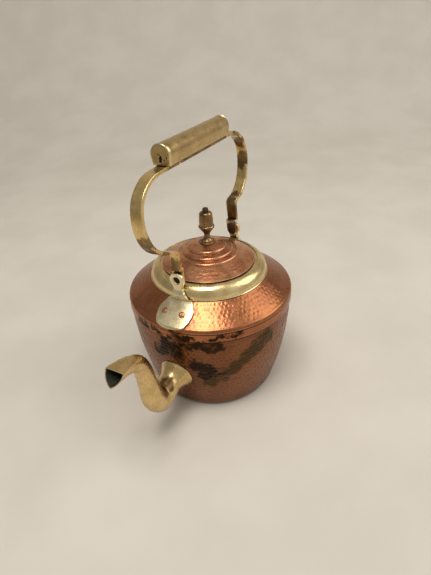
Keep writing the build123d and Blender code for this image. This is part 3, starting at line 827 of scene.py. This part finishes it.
def build_finial():
    low = LID_CROWN[1]
    line = [(STUD_R, low), (9.25, low), (9.25, low + 1.2), (8.5, low + 1.6)]
    line += arc((8.4, low + 1.6), (4.6, low + 4.2), (3.4, low + 8.6), 12)
    line += arc((3.4, low + 10.4), (5.4, low + 13.4), (8.1, low + 17.0), 12)
    line += arc((8.3, low + 17.2), (9.0, low + 18.7), (8.2, low + 20.1), 10)
    line += [(7.85, low + 20.8), (7.8, low + 26.0), (7.35, BUTTON_Z - 3.4)]
    line += arc((7.35, BUTTON_Z - 3.4), (6.7, BUTTON_Z - 1.4), (5.0, BUTTON_Z), 8)
    line += [(STUD_R, BUTTON_Z)]
    line = dense(rounded(line, 0.3), 0.5)
    slow = uneven(0.12, 71, 7)
    finial = turned("finial_turned", line, BRONZE, 96, slow, sharp=35)
    stands_for(finial, "lid", "bronze_finial", "finial")


def build_stud():
    """The stud through the finial, ending in a rounded button."""
    low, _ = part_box("finial_stud")
    button = BUTTON_Z
    line = [(0.02, low.z / MM), (STUD_R, low.z / MM), (STUD_R, button), (3.3, button)]
    line = [*rounded(line, 0.3), *arc((3.3, button + 3.0), (2.8, button + 4.0), (1.8, BUTTON_TOP_Z), 8)]
    line = dense([*line, (0.02, BUTTON_TOP_Z)], 0.5)
    stud = turned("finial_button", line, BUTTON_BRONZE, 48, uneven(0.12, 73, 5), sharp=35)
    stands_for(stud, "lid", "dark_iron", "finial_stud")


# --- spout ----------------------------------------------------------------------------------


def spout_section(angle, width, up, down, share):
    """A point on the tube's section, across and up: oval at share 0, a flat-topped V at share 1."""
    across = width * np.cos(angle)
    high = np.where(np.sin(angle) > 0, up, down) * np.sin(angle)
    cosine, slant = np.cos(angle), np.abs(np.sin(angle))
    lower = V_KEEL * slant + V_TOP * (1 - slant)
    above = np.sin(angle) > 0
    power = np.where(above, 1.0, V_SIDE_POWER)
    v_across = V_HALF_WIDTH * width * np.sign(cosine) * np.abs(cosine) ** power
    v_high = width * np.where(above, V_TOP + 0.05 * slant, lower)
    return across + share * (v_across - across), high + share * (v_high - high)


def limb_rings(inset, count, angle):
    """Rings of the limb from the stub to just past the mouth, with the metal's thickness taken off."""
    rings = []
    for ix, iz, ox, oz, width, share in smooth_line(SPOUT_STATIONS, count):
        centre = np.array([(ix + ox) / 2, (iz + oz) / 2])
        half = hypot(ix - ox, iz - oz) / 2
        up = np.array([ix - ox, iz - oz]) / (2 * half)
        thin = inset * (1 - 0.5 * share)
        across, high = spout_section(angle, width - thin, half - thin, half - thin, share)
        rings.append(np.stack([centre[0] + high * up[0], across, centre[1] + high * up[1]], -1))
    return np.array(rings)


def cut_at_mouth(rings):
    """Ends each lengthwise line of the rings where it meets the slanting plane of the mouth."""
    slant = np.array([MOUTH_TOP[1] - MOUTH_TIP[1], 0, MOUTH_TIP[0] - MOUTH_TOP[0]])
    slant /= np.linalg.norm(slant)
    top = np.array([MOUTH_TOP[0], 0, MOUTH_TOP[1]])
    beyond = (rings - top) @ slant
    cut = np.empty(rings.shape)
    steps = np.linspace(0, 1, len(rings))
    for j in range(rings.shape[1]):
        k = int(np.argmax(beyond[:, j] > 0))
        part = k - 1 + beyond[k - 1, j] / (beyond[k - 1, j] - beyond[k, j])
        for axis in range(3):
            cut[:, j, axis] = np.interp(steps * part, np.arange(len(rings)), rings[:, j, axis])
    return cut


def flange_rings(angle):
    """Rings of the flange and stub: the rim follows the wall, then flares in to the tube."""
    across = np.array([0.0, 1.0, 0.0])
    run = np.array([SPOUT_RUN[0], 0, SPOUT_RUN[1]])
    up = np.array([-SPOUT_RUN[1], 0, SPOUT_RUN[0]])
    foot = np.array([SPOUT_FOOT[0], 0, SPOUT_FOOT[1]])
    filed = 1 - 0.018 * np.abs(np.sin(4.5 * angle + 0.4)) ** 0.6
    out = np.cos(angle)[:, None] * across + np.sin(angle)[:, None] * up
    flare = (
        (FLANGE_R, 0.15, 0.0),
        (FLANGE_R, FLANGE_T - 0.3, 0.0),
        (FLANGE_R - 0.35, FLANGE_T, 0.0),
        (18.9, 2.2, 0.05),
        (17.2, 4.6, 0.3),
        (15.4, 7.2, 0.6),
        (14.2, 9.8, 0.85),
        (13.55, 12.4, 1.0),
        (STUB_R, 15.2, 1.0),
    )
    rings = []
    for radius, lift, plane_share in smooth_line(flare, 26):
        point = foot + radius * filed[:, None] * out
        wall = np.sqrt(np.maximum(wall_radius(point[:, 2]) ** 2 - point[:, 1] ** 2, 0))
        reach = (wall - point[:, 0]) / run[0]
        plane = wall_radius(SPOUT_FOOT[1]) - SPOUT_FOOT[0]
        reach = reach * (1 - plane_share) + plane * plane_share
        rings.append(point + (reach + lift)[:, None] * run)
    return np.array(rings)


def build_spout():
    angle = np.arange(96) * 2 * pi / 96
    outer = np.concatenate([flange_rings(angle), cut_at_mouth(limb_rings(0, 150, angle))])
    inner = cut_at_mouth(limb_rings(SPOUT_WALL, 150, angle))
    lip = 0.55 * outer[-1] + 0.45 * inner[-1]
    middle = outer[0].mean(0)
    bore = middle + (outer[0] - middle) * 0.52
    rows = np.concatenate([outer, [lip], inner[::-1], [bore]])
    spout = skin("spout_tube", rows, SPOUT_BRASS, looped=True, sharp=38)
    spout.data.materials.append(SPOUT_INSIDE)
    for number, face in enumerate(spout.data.polygons):
        face.material_index = int(number // len(angle) > len(outer))
    stands_for(spout, "kettle", "brass_spout", "spout")


# --- lugs -----------------------------------------------------------------------------------


def lug_outline():
    """Right-hand side of the lug up from its tip, round the ear, and back down the left."""
    side = smooth_line(LUG_SIDE[::-1], 46)
    ear = []
    for t in np.linspace(radians(-42), radians(222), 60):
        facet = abs(sin(4 * t + 0.6)) ** 0.7
        radius = EAR_R * (1 - 0.035 * facet)
        ear.append((radius * cos(t), HINGE_Z + radius * sin(t)))
    lean = lambda z: PLATE_SHIFT * min(1, (LUG_SIDE[0][1] - z) / (LUG_SIDE[0][1] - LUG_SIDE[2][1]))
    rough = [(y + 0.3 * sin(1.9 * z) + 0.2 * cos(y / 12) + lean(z), z) for y, z in side]
    other = [(-0.93 * y + 0.9 * cos(y / 12) + lean(z), z) for y, z in side[::-1]]
    return [*rough, *ear, *other[:-1]]


def flat_plate(name, outline, holes, thickness, voxel):
    """An upright plate of the outline in Y and Z with round holes, as an even mesh."""
    curve = bpy.data.curves.new(name, "CURVE")
    curve.dimensions = "2D"
    curve.fill_mode = "BOTH"
    curve.extrude = thickness / 2
    for loop in (outline, *holes):
        spline = curve.splines.new("POLY")
        spline.points.add(len(loop) - 1)
        for point, (y, z) in zip(spline.points, loop):
            point.co = (y, z, 0, 1)
        spline.use_cyclic_u = True
    made = bpy.data.objects.new(name, curve)
    bpy.context.scene.collection.objects.link(made)
    remesh = made.modifiers.new("even", "REMESH")
    remesh.mode = "VOXEL"
    remesh.voxel_size = voxel
    bpy.context.view_layer.update()
    mesh = bpy.data.meshes.new_from_object(made.evaluated_get(bpy.context.evaluated_depsgraph_get()))
    bpy.data.objects.remove(made)
    points = np.array([v.co for v in mesh.vertices], float)
    faces = [tuple(p.vertices) for p in mesh.polygons]
    return points, faces


def circle(radius, centre_z, count=40):
    angles = [2 * pi * k / count for k in range(count)]
    return [(radius * cos(t), centre_z + radius * sin(t)) for t in angles]


def relaxed(points, faces, rounds):
    """Even smoothing of a mesh: each point moves half way to the middle of its neighbours."""
    pairs = np.array([(f[k], f[(k + 1) % len(f)]) for f in faces for k in range(len(f))])
    pairs = np.concatenate([pairs, pairs[:, ::-1]])
    count = np.bincount(pairs[:, 0], minlength=len(points))[:, None]
    for _ in range(rounds):
        total = np.zeros(points.shape)
        np.add.at(total, pairs[:, 0], points[pairs[:, 1]])
        points = 0.5 * points + 0.5 * total / np.maximum(count, 1)
    return points


def lug_points(flat):
    """Bends the flat plate: its foot wraps the cone, its neck turns upright and its ear stands plane."""
    y, z, t = flat[:, 0], flat[:, 1], flat[:, 2] / LUG_T + 0.5
    back = np.array(LUG_BACK)
    turn = np.clip((z - 143.0) / 10.0, 0, 1)
    turn = turn * turn * (3 - 2 * turn)
    tilt = (1 - turn) * atan2(1, -SLOPE)
    z = z - LUG_T * np.sin(tilt)
    radius = np.interp(z, back[:, 1], back[:, 0])
    thick = LUG_T + (EAR_X[1] - EAR_X[0] - LUG_T) * turn + 0.8 * np.sin(pi * turn)
    curl = np.clip((156.0 - z) / 8.0, 0, 1)
    bowed = radius - curl * (radius - np.sqrt(np.maximum(radius**2 - y**2, 0)))
    level = 0.05 + t * thick
    sink = np.clip(PIN_R + 1.2 - np.hypot(y, z - HINGE_Z), 0, 1.1) * (t > 0.5)
    level = level - sink
    around_axis = np.where(curl > 0, y / np.maximum(radius, 1) * curl, 0)
    x = bowed + level * np.cos(tilt) * np.cos(np.arcsin(around_axis))
    side = y + level * np.cos(tilt) * around_axis
    return np.stack([x, side, z + level * np.sin(tilt)], 1)


def mirrored(points, side):
    return np.asarray(points) * (side, 1, 1)


def rivet_parts(side):
    """Points and faces of one lug's two rivets: hand-closed heads outside and tails inside."""
    head = arc((RIVET_HEAD_R, 0.4), (0.79 * RIVET_HEAD_R, 1.25), (0.3, 1.55), 10)
    tail = LUG_T + SHEET + 0.2
    shank = [(0.02, -tail - 0.9), (3.0, -tail - 0.9), (3.2, -tail), (1.65, -tail), (1.65, 0)]
    line = dense([*shank, (RIVET_HEAD_R, 0), *head, (0.02, 1.55)], 0.4)
    radius = CONE_TOP[0] + (RIVET_Z - CONE_TOP[1]) / SLOPE
    parts = []
    for number, y in enumerate(RIVET_YS):
        rows = turned_rows(line, 32, uneven(0.22, 90 + number + side, 5))
        up = np.array([-SLOPE * sqrt(radius**2 - y**2) / radius, -SLOPE * y / radius, 1]) / CONE_LIFT
        across = np.cross([0, 1, 0], up)
        across /= np.linalg.norm(across)
        third = np.cross(up, across)
        base = np.array([sqrt(radius**2 - y**2), y, RIVET_Z]) + up * (LUG_T + 0.05)
        points = rows.reshape(-1, 3) @ np.array([across, third, up]) + base
        parts.append((mirrored(points, side).tolist(), ring_faces(*rows.shape[:2])))
    return joined(parts)


def build_lugs():
    flat, faces = flat_plate("plate", lug_outline(), [circle(PIN_R + 0.08, HINGE_Z)], LUG_T, 0.42)
    flat = relaxed(flat, faces, 5)
    shaped = lug_points(flat)
    for side, end in ((1, "front"), (-1, "rear")):
        lug = piece(f"lug_plate_{end}", mirrored(shaped, side), faces, LUG_BRASS, 70)
        stands_for(lug, "kettle", "brass_lug", f"lug_{end}")
        rivets = piece(f"rivet_heads_{end}", *rivet_parts(side), COPPER_RIVET, 50)
        stands_for(rivets, "kettle", "copper_rivet", f"lug_rivets_{end}")
        head, seat, tip = PIN_X
        line = [(0.02, head), (0.3 * PIN_HEAD_R, head)]
        line += arc((0.3 * PIN_HEAD_R, head), (0.78 * PIN_HEAD_R, head + 0.6), (PIN_HEAD_R, seat - 0.15), 8)
        line += [(PIN_HEAD_R, seat), (PIN_R, seat), (PIN_R, tip - 0.4), (PIN_R - 0.4, tip), (0.02, tip)]
        rows = turned_rows(dense(line, 0.5), 48, uneven(0.05, 7, 4))
        rows = laid_along_x(rows, side, (0, 0, HINGE_Z))
        pin = skin(f"pin_{end}", rows, IRON, sharp=35)
        stands_for(pin, "kettle", "dark_iron", f"pivot_pin_{end}")


# --- bail handle ----------------------------------------------------------------------------


def leaned(x, across, h):
    """A point of the handle from its own plane: along, across and up."""
    x, across, h = np.broadcast_arrays(x, across, h)
    y = across * cos(LEAN) - h * sin(LEAN)
    z = across * sin(LEAN) + h * cos(LEAN) + HINGE_Z
    return np.stack([x, y, z], -1)


def strap_line():
    """Centre line of the strap from the front tab's foot, over the top, to the rear tab's foot."""
    halves = []
    for tab_x, tab_top in (FRONT_TAB, REAR_TAB):
        elbow = (tab_x + STRAP_T, tab_top + ARM_RISE)
        top = [(STRAP_FLAT_X - 16, STRAP_TOP_H), (STRAP_FLAT_X, STRAP_TOP_H)]
        loop = smooth_line([*top, *STRAP_LOOP, elbow], 110)
        foot = rounded([elbow, (tab_x, tab_top), (tab_x, LEDGE_H[0])], 2.2, steps=7)
        halves.append(np.concatenate([loop, dense(foot[1:], 1.5)]))
    front, rear = halves
    return np.concatenate([front[::-1], rear * (-1, 1)])


def build_strap():
    line = strap_line()
    run = np.gradient(line, axis=0)
    run /= np.linalg.norm(run, axis=1)[:, None]
    left = np.stack([-run[:, 1], run[:, 0]], 1)
    half_t = STRAP_T / 2
    half_w = STRAP_W / 2
    corners = [(-half_t, -half_w), (half_t, -half_w), (half_t, half_w), (-half_t, half_w)]
    section = rounded(corners, 0.9, True)
    section = dense([*section, section[0]], 1.3)[:-1]
    chance = np.random.default_rng(19)
    phase = chance.uniform(0, 2 * pi, 4)
    along = np.arange(len(line)) * 1.0
    rows = []
    for k, (point, side) in enumerate(zip(line, left)):
        wave = 0.10 * sin(0.11 * along[k] + phase[0]) + 0.07 * sin(0.29 * along[k] + phase[1])
        wide = 1 - 0.018 * (1 + sin(0.07 * along[k] + phase[2]))
        tab = float(np.clip((FRONT_TAB[1] + 4 - point[1]) / 6, 0, 1)) * (point[0] > 0)
        across = section[:, 1] * (wide + tab * (FRONT_TAB_W / STRAP_W - 1)) + 0.6 * tab
        shift = section[:, 0] * (1 - 0.03 * (1 + wave * 5))
        rows.append(leaned(point[0] + shift * side[0], across, point[1] + shift * side[1]))
    strap = skin("bail_strap", rows, STRAP_BRASS, sharp=50)
    for side, (tab_x, _) in ((1, FRONT_TAB), (-1, REAR_TAB)):
        boolean(strap, eye_plate(side), "UNION")
        boolean(strap, ledge_block(side, tab_x), "UNION")
        bore = turned_rows([(PIN_R + 0.05, 56.0), (PIN_R + 0.05, 70.0)], 48)
        bore = laid_along_x(bore, side, (0, 0, HINGE_Z))
        boolean(strap, skin("bore", bore, IRON), "DIFFERENCE")
    for x, h, size in ((FRONT_TAB[0] + STRAP_T / 2, 25.0, 0.75), (FRONT_TAB[0] + STRAP_T / 2, 23.6, 0.55)):
        boolean(strap, pit(x, -3.2, h, size), "DIFFERENCE")
    stands_for(strap, "handle", "brass_strap", "handle_strap")


def eye_plate(side):
    """The flat eye that the pin goes through, rounded below."""
    outline = [(-STRAP_W / 2, LEDGE_H[1])]
    outline += [(EYE_R * 0.86 * cos(t), EYE_R * sin(t)) for t in np.linspace(pi, 2 * pi, 30)]
    outline += [(STRAP_W / 2, LEDGE_H[1])]
    outline = np.array(outline)
    rows = []
    for x, shrink in ((EYE_X[0], 0.95), (EYE_X[0] + 0.35, 1.0), (EYE_X[1] - 0.35, 1.0), (EYE_X[1], 0.95)):
        rows.append(leaned(side * x, outline[:, 0] * shrink, outline[:, 1] * shrink))
    return skin("eye", rows, STRAP_BRASS)


def ledge_block(side, tab_x):
    """The short step between the eye and the tab."""
    near = EYE_X[0] + 0.1
    far = tab_x + STRAP_T / 2 - 0.05
    corners = [(near, LEDGE_H[0]), (far, LEDGE_H[0]), (far, LEDGE_H[1]), (near, LEDGE_H[1])]
    outline = rounded(corners, 0.5, True)
    half = STRAP_W / 2
    rows = []
    for across, shrink in ((-half + 0.15, 0.0), (-half + 0.45, 1.0), (half - 0.45, 1.0), (half - 0.15, 0.0)):
        middle = outline.mean(0)
        ring = middle + (outline - middle) * (0.94 + 0.06 * shrink)
        rows.append(leaned(side * ring[:, 0], across, ring[:, 1]))
    return skin("ledge", rows, STRAP_BRASS)


def pit(x, across, h, size):
    """A ragged little hollow, to be cut out of a face that looks along +X."""
    chance = np.random.default_rng(int(abs(h) * 10))
    angle = np.arange(9) * 2 * pi / 9
    ragged = size * chance.uniform(0.7, 1.35, 9)
    rows = []
    for depth, share in ((-1.4, 0.6), (1.5, 1.0)):
        reach = share * ragged
        rows.append(leaned(x + depth, across + reach * np.cos(angle), h + reach * np.sin(angle)))
    return skin("pit", rows, IRON)


def grip_ring(x, radius, seat, count=72):
    """An arched section: a round top over straight sides that narrow to the flat on the strap."""
    t = np.linspace(-GRIP_WAIST, pi + GRIP_WAIST, count)
    arch = np.stack([radius * np.cos(t), GRIP_H + radius * np.sin(t)], 1)
    flat = GRIP_FLAT / 2 + radius - GRIP_R
    corner = np.array([(flat - 0.5, seat), (flat - 0.1, seat + 0.15), (flat, seat + 0.6)])
    right = np.concatenate([corner, np.linspace(corner[-1], arch[0], 8)[1:-1]])
    base = np.linspace((0.5 - flat, seat), (flat - 0.5, seat), 14)[1:-1]
    ring = np.concatenate([right, arch, right[::-1] * (-1, 1), base])
    return leaned(x, ring[:, 0], ring[:, 1])


def build_grip():
    steps = np.concatenate([[-GRIP_HALF, -GRIP_HALF + 0.3], np.linspace(-GRIP_HALF + 3, GRIP_HALF - 3, 60)])
    steps = np.concatenate([steps, [GRIP_HALF - 0.3, GRIP_HALF]])
    rows = []
    for x in steps:
        end = abs(abs(x) - GRIP_HALF) < 0.1
        dent = 0.06 * sin(0.13 * x) + 0.05 * sin(0.31 * x + 1)
        rows.append(grip_ring(x, GRIP_R - 0.12 - abs(dent) - (0.25 if end else 0), SEAT_H))
    for x in steps[::-1]:
        rows.append(grip_ring(x, GRIP_R - SHEET, SEAT_H + SHEET))
    grip = skin("grip_roll", rows, GRIP_BRASS, looped=True, sharp=45)
    stands_for(grip, "handle", "brass_grip", "grip_tube")


def build_caps():
    for side, end in ((1, "front"), (-1, "rear")):
        inner = GRIP_HALF + 0.05
        outer = inner + CAP_T
        rows = []
        for x, radius, seat in (
            (inner - 2, GRIP_R - SHEET - 0.1, SEAT_H + SHEET + 0.1),
            (inner, GRIP_R - SHEET - 0.1, SEAT_H + SHEET + 0.1),
            (inner, CAP_R - 0.35, SEAT_H + 0.35),
            (inner + 0.3, CAP_R, SEAT_H),
            (outer - 0.9, CAP_R, SEAT_H),
            (outer - 0.35, CAP_R - 0.25, SEAT_H + 0.2),
            (outer, CAP_R - 0.9, SEAT_H + 0.7),
            (outer - 0.15, CAP_R - 3.0, SEAT_H + 3.0),
            (outer - 0.25, CAP_R - 7.0, SEAT_H + 5.5),
        ):
            rows.append(grip_ring(side * x, radius, seat))
        cap = skin(f"grip_end_{end}", rows, CAP_BRASS, sharp=38)
        if side == 1:
            for across, h, size in CAP_PITS:
                boolean(cap, pit(outer, across, h, size), "DIFFERENCE")
        stands_for(cap, "handle", "brass_cap", f"grip_cap_{end}")


# --- the CAD nodes that stay, stage, lights and camera --------------------------------------


def dress(name, material):
    """Gives a CAD node that stays as it is its finish."""
    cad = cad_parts[name]
    cad.data.materials.clear()
    cad.data.materials.append(material)
    cad.data.shade_smooth()
    cad.data.set_sharp_from_angle(angle=radians(35))


def build_stage():
    """A pale floor that sweeps up behind the kettle."""
    away = Vector((-cos(CAMERA_TURN), -sin(CAMERA_TURN), 0))
    beside = Vector((-away.y, away.x, 0))
    line = [(-2.2, 0.0), (0.9, 0.0)]
    line += [(0.9 + 0.9 * sin(t), 0.9 - 0.9 * cos(t)) for t in np.linspace(0.05, pi / 2, 16)]
    line += [(1.8, 3.2)]
    points = []
    for reach, height in line:
        for wide in (-3.0, 3.0):
            points.append((away * reach + beside * wide + Vector((0, 0, height))) / MM)
    faces = [(2 * k, 2 * k + 1, 2 * k + 3, 2 * k + 2) for k in range(len(line) - 1)]
    material, tree, shader, place = new_metal("pale_floor", metallic=0.0, rough=0.85)
    cloud = noise(tree, place, 7, 4)
    base = blend(tree, stretch(tree, cloud, 0.3, 0.7), colour(0.70, 0.655, 0.58), colour(0.76, 0.715, 0.64))
    finish(tree, shader, base, stretch(tree, cloud, 0.3, 0.7, 0.8, 0.9))
    floor = piece("floor", [tuple(p) for p in points], faces, material)


def area_light(name, place, target, size, power, tint):
    data = bpy.data.lights.new(name, "AREA")
    data.shape = "RECTANGLE"
    data.size, data.size_y = size
    data.energy = power
    data.color = tint
    made = bpy.data.objects.new(name, data)
    bpy.context.scene.collection.objects.link(made)
    made.location = place
    made.rotation_mode = "QUATERNION"
    made.rotation_quaternion = (Vector(target) - Vector(place)).to_track_quat("-Z", "Y")


def build_lights():
    world = bpy.data.worlds.new("studio")
    bpy.context.scene.world = world
    world.use_nodes = True
    tree = world.node_tree
    sky = tree.nodes["Background"]
    sky.inputs["Color"].default_value = colour(1.0, 0.96, 0.90)
    toward = node(tree, "ShaderNodeTexCoord").outputs["Generated"]
    side = node(tree, "ShaderNodeSeparateXYZ", {0: toward}).outputs["Y"]
    tree.links.new(stretch(tree, side, -0.8, 0.9, 0.27, 0.50), sky.inputs["Strength"])
    area_light("ceiling", (0.40, 0.02, 1.6), (0, 0, 0.1), (0.65, 0.65), 12, (1.0, 0.96, 0.90))
    area_light("window", (-0.8, 1.3, 1.5), (0, 0, 0.1), (1.3, 1.3), 11, (1.0, 0.97, 0.93))


def build_camera():
    data = bpy.data.cameras.new("camera")
    data.lens = CAMERA_LENS
    data.sensor_width = 36.0
    data.clip_start = 0.01
    camera = bpy.data.objects.new("camera", data)
    bpy.context.scene.collection.objects.link(camera)
    flat = cos(CAMERA_TILT)
    back = Vector((cos(CAMERA_TURN) * flat, sin(CAMERA_TURN) * flat, sin(CAMERA_TILT)))
    level = Vector((0, 0, 1)).cross(back).normalized()
    upright = back.cross(level)
    right = level * cos(CAMERA_ROLL) + upright * sin(CAMERA_ROLL)
    up = upright * cos(CAMERA_ROLL) - level * sin(CAMERA_ROLL)
    place = Matrix((right, up, back)).transposed().to_4x4()
    place.translation = CAMERA_PLACE
    camera.matrix_world = place
    bpy.context.scene.camera = camera


build_wall()
build_shoulder()
build_collar()
build_lid()
build_finial()
build_stud()
build_spout()
build_lugs()
build_strap()
build_grip()
build_caps()
dress("base_pan", WALL_COPPER)
dress("lid_bezel", COPPER_LID)
dress("finial_washer", IRON)
dress("finial_nut", COLLAR_BRASS)
build_stage()
build_lights()
build_camera()
bpy.context.scene.view_settings.view_transform = "Standard"
